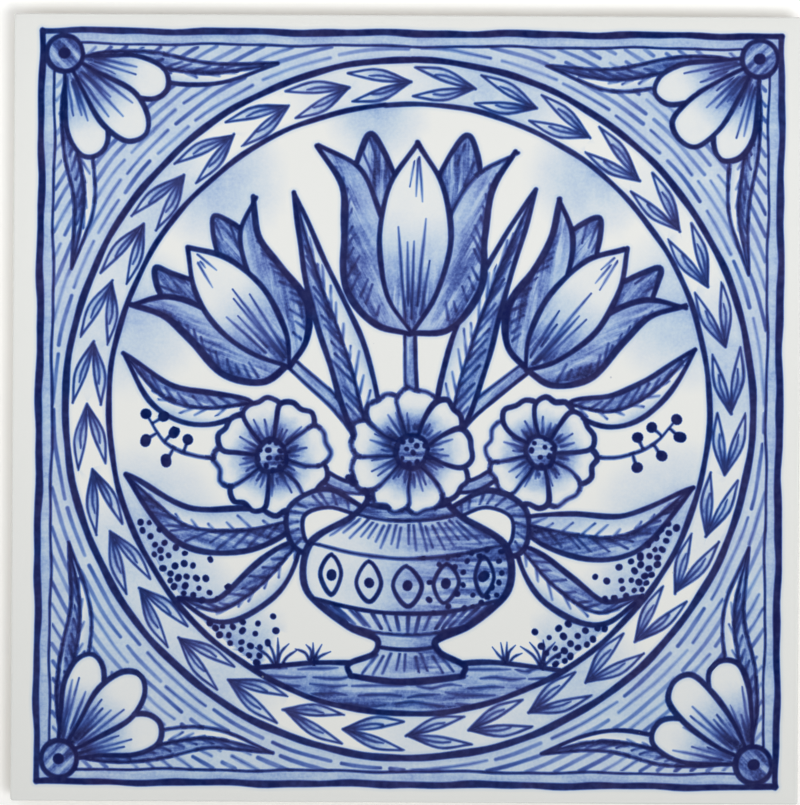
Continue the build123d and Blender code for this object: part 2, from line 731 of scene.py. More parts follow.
@dataclass(frozen=True)
class Vase(Motif):
    """A footed vase with two handles, a belt of lozenges and a dotted shadow."""

    pose: Pose = Pose((0.0, -43.6))
    profile: tuple = (
        *((9.4, 0), (10.0, 1.7), (5.4, 3.8), (4.6, 5.6), (10.0, 8.4)),
        *((16.6, 14.2), (16.2, 21.2), (8.8, 26.2), (6.6, 29.0), (10.2, 32.4)),
    )
    handle: tuple = ((7.6, 27.6), (13.6, 30.2), (19.6, 27.4), (19.4, 21.4), (15.6, 18.9))
    handle_eye: tuple = ((8.2, 26.0), (13.0, 27.6), (17.0, 25.8), (16.9, 22.4), (15.9, 20.9))

    def band(self, height: float, half: float, sag: float) -> Points:
        """Returns a line round the body, with its height and half width at the sides, and its sag."""
        knots = [(x * half, height - sag * (1 - x * x)) for x in (-1, -0.5, 0, 0.5, 1)]
        return curve(self.pose(knots))

    def paint(self) -> None:
        """Paints the body with its bands, then the handles behind it."""
        art, place = self.art, self.pose
        right, left = art.trace(place, self.profile), art.trace(place, mirrored(self.profile))
        lip, base = self.band(32.4, 10.2, -1.6), self.band(0, 9.4, 0.9)
        body = np.vstack([right, lip[::-1], left[::-1], base])
        for edge in (right, left, base):
            art.line(edge, Brush.BOLD)
        art.line(lip, Brush.OUTLINE)
        mouth, collar = self.band(31.2, 9.5, 1.2), self.band(28.0, 6.9, 0.8)
        shoulder = self.band(26.4, 8.5, 1.1)
        for line in (mouth, collar, shoulder):
            art.line(line, Brush.LINER)
        art.wash(ringed(lip, mouth), flat(0.72))
        art.wash(ringed(collar, shoulder), flat(0.5))
        art.wash(body, fade(place((15, 15)), place((-12, 18)), 0.54, 0.05))
        self.paint_belly(shoulder, base)
        art.claim(body)
        self.paint_handles()

    def paint_belly(self, shoulder: Points, base: Points) -> None:
        """Paints what goes round the belly: strokes, lozenges, dots and gadroons.

        Args:
            shoulder: the line under the neck.
            base: the line at the foot.
        """
        art = self.art
        top, low = self.band(21.5, 16.0, 2.3), self.band(12.6, 15.4, 2.5)
        hem, knop = self.band(8.2, 9.8, 1.5), self.band(4.8, 4.8, 0.5)
        for line in (top, low, hem, knop):
            art.line(line, Brush.LINER)
        art.hatch(shoulder, top, 19, (0.12, 0.66))
        middle = (at_share(top, np.linspace(0, 1, 60)) + at_share(low, np.linspace(0, 1, 60))) / 2
        for share in (0.1, 0.3, 0.5, 0.7, 0.9):
            place = Pose(tuple(at_share(middle, share)[0]))
            half = 2.4 * (1 - 1.9 * (share - 0.5) ** 2)
            lozenge = art.trace(place, [(0, 3.4), (half, 0.2), (0, -3.2), (-half, 0.2)], closed=True)
            art.line(lozenge, Brush.LINER)
            art.dot(place((0, 0.1)), 0.8)
            art.claim(lozenge)
        belt = ringed(top, low)
        art.stipple(belt, fade((13.0, 0), (-3.0, 0), 0.9, 0.0), 0.45, 1.25)
        art.claim(belt)
        art.hatch(low, hem, 15, (0.1, 0.84), Brush.LINER, 0.9, 0.06, (0.9, 0.8))
        art.hatch(knop, base, 9, (0.2, 0.75), load=0.85)

    def paint_handles(self) -> None:
        """Paints a looped handle at each side."""
        art, outer, inner = self.art, self.handle, self.handle_eye
        for knots in ((outer, inner), (mirrored(outer), mirrored(inner))):
            over, under = (art.trace(self.pose, line) for line in knots)
            art.line(over, Brush.OUTLINE)
            art.line(under, Brush.LINER)
            art.hatch(over, under, 11, (0.2, 0.8), load=0.85, loose=0.1)
            art.fill(ringed(over, under), flat(0.42))


@dataclass(frozen=True)
class Wreath(Motif):
    """A round border of leaf pairs between two lines."""

    outer: float = 57.0
    inner: float = 49.8
    pairs: int = 32
    leaf_reach: float = 2.35
    slip: float = 0.25

    def paint(self) -> None:
        """Paints the leaves, each a little off its place, the two lines and the tone between them."""
        art = self.art
        middle, step = (self.outer + self.inner) / 2, 360 / self.pairs
        for i in range(self.pairs):
            for side in (1, -1):
                angle = 90 + i * step + art.hand.normal(0.0, self.slip)
                root = arc(middle, angle, angle + 1)[0]
                tip = arc(middle + side * self.leaf_reach, angle + step * 0.97, angle + step)[0]
                self.paint_leaf(root, tip, side)
        art.line(arc(self.outer, 90, 450), Brush.BOLD)
        art.line(arc(self.inner, 95, 455), Brush.OUTLINE)
        art.wash(np.vstack([arc(self.outer, 0, 360), arc(self.inner, 360, 0)]), self.patches)
        art.claim(arc(self.outer + 0.2, 0, 359))

    @staticmethod
    def patches(points: Points) -> np.ndarray:
        """Returns a pale tone that comes and goes round the border."""
        angle = np.arctan2(points[:, 1], points[:, 0])
        return np.clip(0.05 + 0.06 * np.sin(5 * angle + 1.0) + 0.04 * np.sin(11 * angle), 0.0, 0.14)

    def paint_leaf(self, root: Points, tip: Points, side: int) -> None:
        """Paints one leaf of the wreath.

        Args:
            root: where it starts.
            tip: where it ends.
            side: 1 for a leaf to the outside, -1 for one to the inside.
        """
        middle, way = (root + tip) / 2, tip - root
        out = middle / np.linalg.norm(middle) * side
        back, belly = curve([root, middle + out * 1.3, tip]), curve([root, middle - out * 0.55, tip])
        for edge in (back, belly):
            self.art.line(edge, Brush.VEIN, 0.84, (0.9, 0.8), sway=0.04)
        rib = curve([root + way * 0.1, middle + out * 0.35, root + way * 0.66])
        self.art.line(rib, Brush.VEIN, 0.7)
        self.art.fill(ringed(back, belly), fade(root, tip, 0.46, 0.05), heading(back))


@dataclass(frozen=True)
class Corner(Motif):
    """A fan of lobes in the corner, with a slim leaf along each side of it.

    Each lobe has its turn in degrees, its length and half its width. The leaf's knots are measured
    from the corner.
    """

    quarter: int
    half_side: float
    inset: float = 1.6
    bud_radius: float = 3.0
    fan_size: float = 19.0
    lobes: tuple = ((0, 1.0, 0.19), (27, 0.94, 0.17), (-27, 0.94, 0.17))
    leaf: tuple = ((5, 2.2), (16, 3.6), (26, 5.0), (37, 2.9))
    leaf_half_width: float = 2.5

    def paint(self) -> None:
        """Paints the fan and its leaves."""
        art, edge, turn = self.art, self.half_side, 90 * self.quarter
        turned = Pose(turn=turn)
        root = turned((edge - self.inset, edge - self.inset))[0]
        bud = arc(self.bud_radius, 0, 360, 0.5) + root
        art.line(bud, Brush.OUTLINE)
        art.dot(root, 0.9)
        art.fill(bud, flat(0.46), 45 + turn)
        for lean, length, width in self.lobes:
            self.paint_lobe(Pose(tuple(root), 135 + turn + lean, self.fan_size), length, width)
        slim = [(edge - x, edge - y) for x, y in self.leaf]
        for knots, shaded in ((slim, -1), ([(y, x) for x, y in slim], 1)):
            Leaf(art, turned(knots), self.leaf_half_width, shaded, Brush.LINER).paint()

    def paint_lobe(self, place: Pose, length: float, width: float) -> None:
        """Paints one lobe of the fan.

        Args:
            place: the lobe's own pose, along its length.
            length: the lobe's length in its own measure.
            width: half its width.
        """
        art = self.art
        shape = ((0.6, 0.36), (1.0, 0.7), (0.7, 0.93))
        side = [(0.03, 0.1), *[(width * x, y * length) for x, y in shape]]
        lobe = art.trace(place, [*side, (0, length), *mirrored(side)[::-1]])
        art.line(lobe, Brush.OUTLINE, ends=(0.7, 0.7))
        foot, crown = place.bar(0.05, 0.2), place.bar(width, length)
        art.hatch(foot, crown, 4, (0.05, 0.5), loose=0.2, ends=(1.0, 0.5), within=lobe)
        art.fill(lobe, fade(place((0, 0.12)), place((0, 0.8 * length)), 0.6, 0.02), place.turn + 90)


@dataclass
class FlowerPainting:
    """The picture on the face: a vase of flowers in a round border, with a filled corner at each side.

    The motifs stand in the order in which they are painted, the front one first. The puddles of tone
    round the field have their angle in degrees and their radius.
    """

    art: Painting = field(default_factory=Painting)
    half_side: float = 59.2
    round_edge: float = 49.8
    dotted: float = 11.0
    motifs: tuple = (
        (Blossom, Pose((0.4, -7.0), 5, 10.2), 9),
        (Vase,),
        (Blossom, Pose((-22.6, -8.0), 14, 9.4), 8),
        (Blossom, Pose((22.0, -7.0), 30, 9.0), 8),
        (Tulip, Pose((0.3, 12.2), -1.5, 29.5)),
        (Tulip, Pose((-20.0, 6.8), 41, 24.2)),
        (Tulip, Pose((19.4, 6.4), -39, 24.4)),
        (Leaf, ((5, -11), (9, 6), (13.6, 20), (20.5, 36)), 3.7, -1),
        (Leaf, ((-5, -11), (-9.4, 6), (-14.4, 20), (-20, 35)), 3.6, 1),
        (Leaf, ((18.2, -18.4), (27, -20.4), (36, -20.2), (47.2, -12.5)), 4.0, -1),
        (Leaf, ((-18.2, -18.4), (-27, -20), (-36.6, -19.4), (-46.8, -11.4)), 4.0, 1),
        (Leaf, ((18, -22), (25, -29.4), (32, -33), (39, -30.2)), 3.3, 1),
        (Leaf, ((-18, -22), (-24.6, -29), (-31, -33.2), (-38, -31.2)), 3.3, -1),
        (Leaf, ((26, 1), (34, 0), (40, 2.4), (47, 10)), 3.0, 1),
        (Leaf, ((-26, 1), (-33.4, -0.4), (-40, 1.6), (-47.4, 8.8)), 3.0, -1),
        (Stem, ((4, -12), (9, -2), (19.4, 7))),
        (Stem, ((-4, -12), (-9.4, -2), (-20, 7.4))),
        (Stem, ((0, -10), (0.6, 0), (0.2, 13))),
        (Stem, ((4, -13), (11, -12.4), (18, -8))),
        (Stem, ((-4, -13), (-11, -12.6), (-18, -8.6))),
        (Sprig, ((28, -7.4), (35, -7.6), (40.4, -5.6), (44.2, -1.4)), 6),
        (Sprig, ((-28, -8), (-35, -8), (-40, -5.8), (-43.8, -1.2)), 6),
        (Tuft, Pose((-21.5, -42.3), 0, 4.6)),
        (Tuft, Pose((-15.6, -41.8), 0, 3.6)),
        (Tuft, Pose((16.4, -41.5), 0, 3.4)),
        (Tuft, Pose((22.4, -42.2), 0, 4.8)),
    )
    ledge: tuple = ((-25.8, -42.6), (-12, -41.4), (0, -42.2), (13, -41.2), (25.8, -42.6))
    skirts: tuple = ((203, 240), (300, 337))
    puddles: tuple = ((20, 14), (52, 11), (97, 9), (131, 12), (163, 13), (205, 15), (337, 15))
    hatched_radii: tuple = (58.9, 84.0, 1.65)
    frame_gap: float = 2.1
    frame_tone_gap: float = 1.7

    def compose(self) -> Painting:
        """Paints everything, the front first.

        Returns:
            The finished painting.
        """
        for kind, *settings in self.motifs:
            kind(self.art, *settings).paint()
        self.paint_ground()
        Wreath(self.art).paint()
        self.paint_corners()
        return self.art

    def paint_ground(self) -> None:
        """Paints the ledge that the vase stands on and the tone that rounds the field."""
        art, edge = self.art, self.round_edge
        ledge = curve(self.ledge)
        ground = np.vstack([ledge, arc(edge - 0.3, 301, 239)])
        art.line(ledge, Brush.OUTLINE)
        art.ripples(ground, 1.45, 0.8)
        art.fill(ground, fade((0, -49.0), (0, -42.0), 0.46, 0.2))
        for start, stop in self.skirts:
            skirt = np.vstack([arc(edge - 1.2, start, stop), arc(edge - self.dotted, stop, start)])
            art.stipple(skirt, self.rim_shade, 0.5, 1.12)
            art.wash(skirt, lambda points: 0.26 * self.rim_shade(points))
        for angle, radius in self.puddles:
            art.wash(arc(edge, 0, 359), self.puddle(arc(edge - 1, angle, angle + 1)[0], radius))

    def rim_shade(self, points: Points) -> np.ndarray:
        """Returns a shade that is thickest along the round border and thins out inwards."""
        inward = (self.round_edge - np.linalg.norm(points, axis=1)) / self.dotted
        return np.clip(1.15 - 1.15 * inward, 0.0, 1.0) ** 1.3

    @staticmethod
    def puddle(centre: Points, radius: float) -> Shade:
        """Makes a pale shade that is strongest at a point and thins out over a radius."""
        return lambda points: 0.2 * np.clip(1 - np.linalg.norm(points - centre, axis=1) / radius, 0, 1)

    def paint_corners(self) -> None:
        """Paints the corners, the hatched ground round them and the frame."""
        art, edge = self.art, self.half_side
        square = np.array([(-edge, -edge), (edge, -edge), (edge, edge), (-edge, edge)])
        for quarter in range(4):
            Corner(art, quarter, edge).paint()
        for turn in range(0, 360, 90):
            corner = Pose(turn=turn)([(0, 0), (edge, 0), (edge, edge), (0, edge)])
            art.wash(corner, flat(0.125), 135 + turn)
        for radius in np.arange(*self.hatched_radii):
            start = math.degrees(math.acos(min(1.0, edge / radius)))
            for turn in range(0, 360, 90):
                self.hatch_arc(radius, turn + start, turn + 90 - start)
        for gap, brush in ((0.0, Brush.VEIN), (self.frame_gap, Brush.BOLD)):
            corners = square * (1 + gap / edge)
            for a, b in zip(corners, np.roll(corners, -1, 0)):
                art.line(np.array([a, b]), brush, sway=0.12)
        art.claim(square)
        art.wash(square * (1 + self.frame_tone_gap / edge), flat(0.2))

    def hatch_arc(self, radius: float, start: float, stop: float) -> None:
        """Hatches the ground along an arc, with a lift of the brush now and then.

        Args:
            radius: the arc's radius.
            start: angle that it starts at.
            stop: angle that it stops at.
        """
        hand, angle = self.art.hand, start + 0.6
        while angle < stop - 1.0:
            last = min(angle + hand.uniform(6.0, 15.0), stop - 0.3)
            load = hand.uniform(0.36, 0.62)
            self.art.line(arc(radius, angle, last), Brush.LINER, load, (0.9, 0.8), sway=0.1, dries=0.35)
            angle = last + hand.uniform(1.2, 2.0)


# Meshes


@dataclass
class PaintedFace:
    """The flat front of the tile, cut along the edges of the strokes and carrying their paint.

    The painting sits on the tile with a small shift, stretch and turn, as it came out by hand.
    """

    art: Painting
    height: float
    shift: Pair = (0.5, 0.0)
    stretch: Pair = (0.996, 1.011)
    turn: float = -0.2
    grid: float = 1.8
    grid_reach: float = 62.4
    thinnest_core: float = 0.12
    weld: float = 0.004

    def outlines(self, stroke: Stroke) -> list[Points]:
        """Draws round a stroke where its paint ends and where its soft edge begins.

        Args:
            stroke: the stroke.

        Returns:
            Closed lines, and for a thin stroke an open line along its middle.
        """
        rim, core = stroke.half + stroke.soft / 2, stroke.half - stroke.soft / 2
        lines = [stroke.rim(rim)]
        if stroke.bleed:
            lines.append(stroke.rim(rim + stroke.bleed))
        lines.append(stroke.rim(core) if core.min() > self.thinnest_core else stroke.path)
        return lines

    def unplaced(self, places: Points) -> Points:
        """Returns places on the face in the painting's own measure."""
        turned = (places - np.array(self.shift)) @ np.linalg.inv(Pose(turn=self.turn)(np.eye(2)))
        return turned / np.array(self.stretch)

    @staticmethod
    def rounds(line: Points, first: int) -> np.ndarray:
        """Returns the pairs of numbers that close a line, whose points are numbered from the first on."""
        ring = np.arange(first, first + len(line))
        return np.column_stack([ring, np.roll(ring, -1)])

    def net(self) -> Points:
        """Lays an even net over the face, for the washes.

        Returns:
            The points of the net that have no ink on them.
        """
        steps = np.arange(-self.grid_reach, self.grid_reach + self.grid / 2, self.grid)
        points = np.column_stack([axis.ravel() for axis in np.meshgrid(steps, steps)])
        return points[self.art.ink_at(self.unplaced(points)) == 0]

    def build(self, border: Points) -> Object:
        """Cuts the face inside its border and stores the paint on its points.

        Args:
            border: the corners of the flat, in order, in millimetres.

        Returns:
            The face as an object.
        """
        own, stretch = Pose(self.shift, self.turn), np.array(self.stretch)
        lines, edges = [border], [self.rounds(border, 0)]
        count = len(border)
        for stroke in self.art.strokes:
            for line in self.outlines(stroke):
                pairs = self.rounds(line, count)
                edges.append(pairs[:-1] if line is stroke.path else pairs)
                lines.append(own(line * stretch))
                count += len(line)
        spots = [Vector(p) for p in np.vstack([*lines, self.net()])]
        pairs = [tuple(map(int, edge)) for edge in np.vstack(edges)]
        cut, _, faces, *_ = delaunay_2d_cdt(spots, pairs, [], 1, self.weld, False)
        places = np.array([p[:] for p in cut])
        mesh = bpy.data.meshes.new("painted_face")
        mesh.from_pydata([(x * MM, y * MM, self.height * MM) for x, y in places], [], faces)
        self.store_paint(mesh, self.unplaced(places))
        face = bpy.data.objects.new("painted_face", mesh)
        bpy.context.collection.objects.link(face)
        return face

    def store_paint(self, mesh: Mesh, drawn: Points) -> None:
        """Stores the strokes, the washes and the way of the brush on a mesh.

        Args:
            mesh: the mesh.
            drawn: the place of each of its points in the painting's own measure.
        """
        tone, way = self.art.wash_at(drawn)
        for name, kind, value, paint in (
            ("ink", "FLOAT", "value", self.art.ink_at(drawn)),
            ("wash", "FLOAT", "value", tone),
            ("streaks", "FLOAT_VECTOR", "vector", way.ravel()),
        ):
            mesh.attributes.new(name, kind, "POINT").data.foreach_set(value, paint.astype(np.float32))


@dataclass
class TileBody:
    """The pressed body: a square band under the face, leaning sides and a keyed back.

    The last sizes lay out its map in shares of the map's side: the face is largest, the back stands in
    a corner of the map and the four sides are strips between them.
    """

    side: float = 130.0
    thickness: float = 8.0
    corner_radius: float = 0.5
    band_depth: float = 2.6
    edge_lean: float = 4.0
    front_edge_radius: float = 0.4
    back_bevel: float = 0.6
    pockets: int = 6
    pocket_depth: float = 0.7
    pocket_corner_radius: float = 1.5
    pocket_wall_lean: float = 30.0
    rib_width: float = 4.0
    rim_width: float = 8.0
    edge_cuts: int = 70
    round_segments: int = 4
    smooth_angle: float = 38.0
    near: float = 0.01  # a corner this little below the face counts as on it
    merge: float = 0.001  # corners closer than this become one
    map_margin: float = 0.01
    map_face: float = 0.745
    map_back: Pair = (0.77, 0.22)
    map_strips: Pair = (0.775, 0.885)
    map_strip_width: float = 0.09
    map_steep: float = 0.45

    @staticmethod
    def pick(mesh: Mesh, kind: str, test: Callable[[Points], bool]) -> None:
        """Selects the edges or faces that pass a test, and nothing else.

        Args:
            mesh: the mesh, which is in edit mode before and after.
            kind: EDGE or FACE.
            test: takes the places of an edge's or a face's corners, in millimetres.
        """
        bpy.ops.mesh.select_mode(type=kind)
        bpy.ops.mesh.select_all(action="DESELECT")
        bpy.ops.object.mode_set(mode="OBJECT")
        for piece in mesh.edges if kind == "EDGE" else mesh.polygons:
            piece.select = bool(test(np.array([mesh.vertices[v].co for v in piece.vertices]) / MM))
        bpy.ops.object.mode_set(mode="EDIT")

    def round_off(self, radius: float, affect: str) -> None:
        """Rounds the selected corners or edges."""
        settings = {"segments": self.round_segments, "affect": affect, "clamp_overlap": False}
        bpy.ops.mesh.bevel(offset=radius * MM, **settings)

    def at_face(self, corners: Points) -> bool:
        """Returns whether corners all lie at the height of the face."""
        return corners[:, 2].min() > self.thickness - self.near

    def build_sides(self) -> Object:
        """Models the outline, the rounded front edge, the band and the leaning sides.

        Returns:
            The open body, without its face and its back.
        """
        bpy.ops.object.select_all(action="DESELECT")
        bpy.ops.mesh.primitive_plane_add(size=self.side * MM, location=(0, 0, self.thickness * MM))
        body = bpy.context.object
        body.name = "tile_glazed"
        bpy.ops.object.transform_apply(location=True, rotation=True, scale=True)
        bpy.ops.object.mode_set(mode="EDIT")
        bpy.ops.mesh.select_all(action="SELECT")
        self.round_off(self.corner_radius, "VERTICES")
        bpy.ops.mesh.select_all(action="SELECT")
        bpy.ops.mesh.delete(type="ONLY_FACE")
        # The four straight sides are cut short, so that the face meets them in small triangles
        self.pick(body.data, "EDGE", lambda ends: np.linalg.norm(ends[0] - ends[1]) > self.side / 2)
        bpy.ops.mesh.subdivide(number_cuts=self.edge_cuts)
        bpy.ops.mesh.select_all(action="SELECT")
        drops = (self.band_depth, self.thickness - self.band_depth - self.back_bevel, self.back_bevel)
        lean = drops[1] * math.tan(math.radians(self.edge_lean))
        half = self.side / 2
        shrinks = (1.0, 1 - lean / half, 1 - self.back_bevel / (half - lean))
        for drop, shrink in zip(drops, shrinks):
            bpy.ops.mesh.extrude_region_move(TRANSFORM_OT_translate={"value": (0, 0, -drop * MM)})
            bpy.ops.transform.resize(value=(shrink, shrink, 1))
        # The front edge can be rounded only while a face closes it
        self.pick(body.data, "EDGE", self.at_face)
        bpy.ops.mesh.edge_face_add()
        self.pick(body.data, "EDGE", self.at_face)
        self.round_off(self.front_edge_radius, "EDGES")
        self.pick(body.data, "FACE", lambda corners: len(corners) > self.edge_cuts)
        bpy.ops.mesh.delete(type="ONLY_FACE")
        bpy.ops.object.mode_set(mode="OBJECT")
        return body

    def build_key(self) -> Object:
        """Models the grid of key pockets in the back.

        Returns:
            The grid as an object of its own.
        """
        mouth = (self.side - 2 * self.rim_width - (self.pockets - 1) * self.rib_width) / self.pockets
        span = self.pockets * (mouth + self.rib_width)
        bpy.ops.object.select_all(action="DESELECT")
        bpy.ops.mesh.primitive_grid_add(
            x_subdivisions=self.pockets, y_subdivisions=self.pockets, size=span * MM
        )
        key = bpy.context.object
        bpy.ops.object.mode_set(mode="EDIT")
        bpy.ops.mesh.select_all(action="SELECT")
        bpy.ops.mesh.flip_normals()
        bpy.ops.mesh.inset(thickness=self.rib_width / 2 * MM, use_individual=True)
        self.round_off(self.pocket_corner_radius, "VERTICES")
        self.pick(key.data, "FACE", lambda corners: np.ptp(corners[:, :2], axis=0).min() > mouth / 2)
        draft = self.pocket_depth * math.tan(math.radians(self.pocket_wall_lean))
        bpy.ops.mesh.inset(thickness=draft * MM, depth=-self.pocket_depth * MM, use_individual=True)
        bpy.ops.object.mode_set(mode="OBJECT")
        return key

    def border(self, body: Object) -> Points:
        """Finds the loop round the flat of the face.

        Args:
            body: the open body.

        Returns:
            The loop's corners in order, in millimetres.
        """
        spots = np.array([v.co[:] for v in body.data.vertices]) / MM
        top = spots[spots[:, 2] > self.thickness - self.merge][:, :2]
        return top[np.argsort(np.arctan2(top[:, 1], top[:, 0]))]

    def build(self, art: Painting) -> Object:
        """Models the whole tile and closes it.

        Args:
            art: the painting that its face carries.

        Returns:
            The finished tile.
        """
        body, key = self.build_sides(), self.build_key()
        face = PaintedFace(art, self.thickness).build(self.border(body))
        bpy.ops.object.select_all(action="DESELECT")
        for piece in (key, face, body):
            piece.select_set(True)
        bpy.context.view_layer.objects.active = body
        bpy.ops.object.join()
        bpy.ops.object.mode_set(mode="EDIT")
        bpy.ops.mesh.select_all(action="SELECT")
        bpy.ops.mesh.remove_doubles(threshold=self.merge * MM)
        # The rim of the back is the one gap that is left
        bpy.ops.mesh.select_mode(type="EDGE")
        bpy.ops.mesh.select_all(action="DESELECT")
        bpy.ops.mesh.select_non_manifold(
            extend=False, use_wire=False, use_multi_face=False, use_non_contiguous=False
        )
        bpy.ops.mesh.fill()
        bpy.ops.mesh.select_all(action="SELECT")
        bpy.ops.mesh.normals_make_consistent(inside=False)
        bpy.ops.object.mode_set(mode="OBJECT")
        bpy.ops.object.shade_smooth_by_angle(angle=math.radians(self.smooth_angle))
        self.unwrap(body.data)
        return body

    def unwrap(self, mesh: Mesh) -> None:
        """Lays the face, the back and the four sides out on one map, the face largest.

        Args:
            mesh: the tile's mesh.
        """
        corners = [loop.vertex_index for loop in mesh.loops]
        place = np.array([v.co[:] for v in mesh.vertices])[corners] / MM / self.side
        normals = np.array([piece.normal[:] for piece in mesh.polygons])
        facing = np.repeat(normals, [piece.loop_total for piece in mesh.polygons], axis=0)
        flat_place = place[:, :2] + 0.5
        spread = self.map_margin + self.map_face * flat_place
        wide = spread.copy()
        back = facing[:, 2] < -self.map_steep
        spread[back] = (self.map_back[0] + self.map_back[1] * flat_place)[back]
        wall = np.abs(facing[:, 2]) <= self.map_steep
        deep = place[:, 2] * self.side / self.thickness
        for axis in (0, 1):
            for way, low in zip((1, -1), self.map_strips):
                here = wall & (np.argmax(np.abs(facing[:, :2]), axis=1) == axis)
                here &= facing[:, axis] * way > 0
                spread[here, axis] = (low + self.map_strip_width * deep)[here]
                spread[here, 1 - axis] = wide[here, 1 - axis]
        layer = mesh.uv_layers.new(name="OFBake")
        layer.data.foreach_set("uv", spread.ravel().astype(np.float32))


# Finishes

# Sockets of a node that spreads one range of numbers to another, in order
RANGE = ("Value", "From Min", "From Max", "To Min", "To Max")


def linear(code: str) -> tuple[float, float, float, float]:
    """Turns an sRGB hex colour to linear red, green, blue and alpha."""
    parts = [int(code[i : i + 2], 16) / 255 for i in (1, 3, 5)]
    return (*(c / 12.92 if c <= 0.04045 else ((c + 0.055) / 1.055) ** 2.4 for c in parts), 1.0)


def add_node(
    tree: NodeTree, kind: str, values: dict[Any, Any] | None = None, output: int | str = 0, **settings: Any
) -> NodeSocket:
    """Adds a shader node with its settings, and sets or links its sockets.

    Args:
        tree: the nodes of a material or of the world.
        kind: the node's type.
        values: what goes to each input socket, a number, a colour or another node's output.
        output: the output that is wanted.
        **settings: what the node itself is set to.

    Returns:
        The wanted output.
    """
    node = tree.nodes.new("ShaderNode" + kind)
    for name, setting in settings.items():
        setattr(node, name, setting)
    for socket, value in (values or {}).items():
        if isinstance(value, NodeSocket):
            tree.links.new(value, node.inputs[socket])
        else:
            node.inputs[socket].default_value = value
    return node.outputs[output]


@dataclass(frozen=True)
class Unevenness:
    """How a finish varies: the size of its patches in millimetres, and its least and its most.

    The noise between the two bounds is spread from the least to the most.
    """

    size: float
    bounds: Pair
    least: float
    most: float
    detail: float = 2.0
    roughness: float = 0.5

    def vary(self, tree: NodeTree, spot: NodeSocket) -> NodeSocket:
        """Makes the pattern.

        Args:
            tree: the material's nodes.
            spot: the place on the tile.

        Returns:
            A number between the least and the most at each place.
        """
        look = {"Scale": 1 / (self.size * MM), "Detail": self.detail, "Roughness": self.roughness}
        noise = add_node(tree, "TexNoise", {"Vector": spot} | look)
        return add_node(tree, "MapRange", dict(zip(RANGE, (noise, *self.bounds, self.least, self.most))))


@dataclass(frozen=True)
class CobaltPaint:
    """Cobalt oxide painted on the raw glaze: thin it fires pale blue, thick it fires near black.

    Thin paint pools and settles unevenly and shows the pull of the brush, and the blue drifts in hue and
    strength from one part of the face to another. The stops give the colour at each strength.
    """

    stops: tuple = (
        *((0.0, "#E4E5E2"), (0.05, "#D3DAE0"), (0.1, "#C2D0DD"), (0.18, "#A8BDD8")),
        *((0.27, "#8BA4CF"), (0.38, "#6C85BE"), (0.5, "#4D65A8"), (0.64, "#374889")),
        *((0.78, "#2D386E"), (0.9, "#232A5A"), (1.0, "#151D50")),
    )
    pooling: Unevenness = Unevenness(4.5, (0.25, 0.75), 0.6, 1.3, detail=4.0, roughness=0.6)
    # The grains of the oxide are finer than this, and are drawn as coarse as they need to be to show
    settling: Unevenness = Unevenness(0.5, (0.3, 0.7), 0.82, 1.18)
    thinning: Unevenness = Unevenness(1.1, (0.3, 0.7), 0.88, 1.05, detail=3.0)
    hue: Unevenness = Unevenness(9.0, (0.3, 0.7), 0.492, 0.513)
    richness: Unevenness = Unevenness(9.0, (0.3, 0.7), 1.12, 0.9)
    drift_in_washes: float = 0.3
    streak_length: float = 9.0
    streak_width: float = 1.1
    streak_shuffle: float = 7.3
    streak_bounds: Pair = (0.36, 0.64)
    streak_pull: Pair = (0.45, 1.4)
    streaked: Pair = (0.12, 0.4)


@dataclass(frozen=True)
class Specks:
    """Small round marks: their colour, spacing, the share of places with one, size and strength."""

    colour: str
    spacing: float
    share: float
    radius: float
    strength: float
    edge: float = 0.08


@dataclass(frozen=True)
class TinGlaze:
    """White tin glaze, fired glossy: opaque, a little wavy, with pinholes and stray specks."""

    ior: float = 1.5
    roughness: float = 0.12
    wave: float = 14.0
    wave_height: float = 0.4
    wave_strength: float = 0.25
    marks: tuple[Specks, ...] = (Specks("#8E97AE", 2.6, 0.18, 0.23, 0.45),)


@dataclass(frozen=True)
class Biscuit:
    """Bare fired earthenware: buff, dry and grainy, with a few iron specks."""

    colour: str = "#DED5C3"
    dark: str = "#C6B89E"
    roughness: float = 0.86
    # The grit of the clay is finer than this, and is drawn as coarse as it needs to be to show
    grain: float = 0.7
    grain_height: float = 0.25
    cloud: float = 4.2
    marks: tuple[Specks, ...] = (
        Specks("#A89B84", 1.5, 0.4, 0.2, 0.6),
        Specks("#85644A", 5.0, 0.3, 0.34, 0.75),
    )


